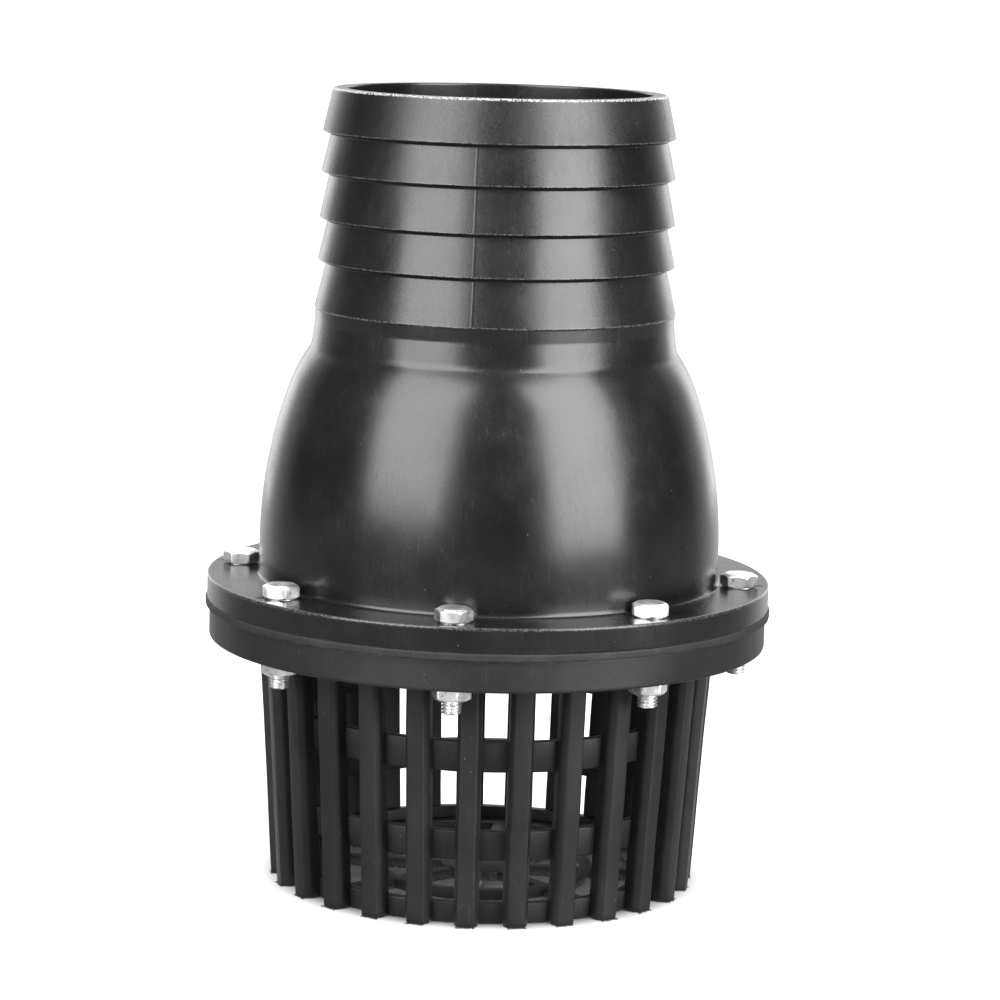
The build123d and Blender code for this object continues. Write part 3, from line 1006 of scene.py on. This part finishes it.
def add_softbox(name, azimuth_deg, elevation_deg, distance, width, height, radiance):
    """A rectangular lamp facing the part; azimuth is clockwise from the camera's side, seen from above."""
    azimuth = math.radians(azimuth_deg)
    elevation = math.radians(elevation_deg)
    level = distance * math.cos(elevation)
    height_above = distance * math.sin(elevation)
    away = camera_frame((level * math.sin(azimuth), -level * math.cos(azimuth), height_above))
    data = bpy.data.lights.new(name, "AREA")
    data.shape = "RECTANGLE"
    data.size = width
    data.size_y = height
    data.energy = radiance * math.pi * width * height
    lamp = bpy.data.objects.new(name, data)
    lamp.location = Vector(LIGHT_TARGET) + away
    lamp.rotation_euler = away.to_track_quat("Z", "Y").to_euler()
    lamp.visible_camera = False
    bpy.context.scene.collection.objects.link(lamp)


def camera_frame(vector):
    """A vector given with -Y towards the camera, turned into the part's own frame."""
    return Matrix.Rotation(math.radians(CAMERA_TURN_DEG), 4, "Z") @ Vector(vector)


def make_lights():
    """Two tall front softboxes, two weak lamps behind for the edges, and a soft one overhead."""
    add_softbox("front_left", -43, 29.5, 1.4, 1.06, 1.34, 8.6)
    add_softbox("front_right", 49, 26, 1.4, 1.00, 1.54, 10.4)
    add_softbox("back_left", -152, 20, 1.4, 0.5, 1.4, 1.5)
    add_softbox("back_right", 152, 20, 1.4, 0.5, 1.4, 1.5)
    add_softbox("overhead", 180, 85, 1.3, 1.4, 1.4, 2.5)


def make_world():
    """A white backdrop: bright behind the part in its reflections, dark on the camera's side."""
    world = bpy.data.worlds.new("studio")
    bpy.context.scene.world = world
    world.use_nodes = True
    tree = world.node_tree
    ray = tree.nodes.new("ShaderNodeLightPath")
    direction = tree.nodes.new("ShaderNodeTexCoord")
    facing = tree.nodes.new("ShaderNodeVectorMath")
    facing.operation = "DOT_PRODUCT"
    facing.inputs[1].default_value = camera_frame((0, 1, 0))
    tree.links.new(direction.outputs["Generated"], facing.inputs[0])
    reflected = spread(tree, facing.outputs["Value"], *BACKDROP_EDGE, *BACKDROP_GLOSS)
    upward = tree.nodes.new("ShaderNodeSeparateXYZ")
    tree.links.new(direction.outputs["Generated"], upward.inputs[0])
    table = spread(tree, upward.outputs["Z"], *TABLE_EDGE, *TABLE_GLOSS)
    reflected = combine(tree, "MAXIMUM", reflected, table)
    glossy = ray.outputs["Is Glossy Ray"]
    strength = combine(tree, "MULTIPLY", glossy, reflected)
    scattered = combine(tree, "MULTIPLY", combine(tree, "SUBTRACT", 1.0, glossy), BACKDROP_DIFFUSE)
    strength = combine(tree, "ADD", strength, scattered)
    strength = combine(tree, "MAXIMUM", strength, ray.outputs["Is Camera Ray"])
    background = tree.nodes["Background"]
    background.inputs["Color"].default_value = (1, 1, 1, 1)
    tree.links.new(strength, background.inputs["Strength"])


def make_camera():
    """Camera at the viewing angle of the studio picture."""
    data = bpy.data.cameras.new("camera")
    data.sensor_width = 36.0
    data.lens = CAMERA_LENS
    data.dof.use_dof = False
    camera = bpy.data.objects.new("camera", data)
    pitch = math.radians(CAMERA_PITCH_DEG)
    yaw = math.radians(CAMERA_YAW_DEG)
    roll = math.radians(CAMERA_ROLL_DEG)
    forward = Vector((math.sin(yaw) * math.cos(pitch), math.cos(yaw) * math.cos(pitch), -math.sin(pitch)))
    level = Vector((math.cos(yaw), -math.sin(yaw), 0))
    upright = level.cross(forward)
    right = level * math.cos(roll) + upright * math.sin(roll)
    up = upright * math.cos(roll) - level * math.sin(roll)
    turn = Matrix.Rotation(math.radians(CAMERA_TURN_DEG), 4, "Z")
    axes = Matrix((right, up, -forward)).transposed().to_4x4()
    place = Matrix.Translation((0, -CAMERA_DISTANCE * MM, CAMERA_HEIGHT * MM))
    camera.matrix_world = turn @ place @ axes
    bpy.context.scene.collection.objects.link(camera)
    bpy.context.scene.camera = camera


make_body()
make_basket()
make_gasket()
make_flap()
make_fasteners()
keep_cad_pieces()
make_stage()
make_lights()
make_world()
make_camera()
bpy.context.scene.view_settings.view_transform = "Standard"
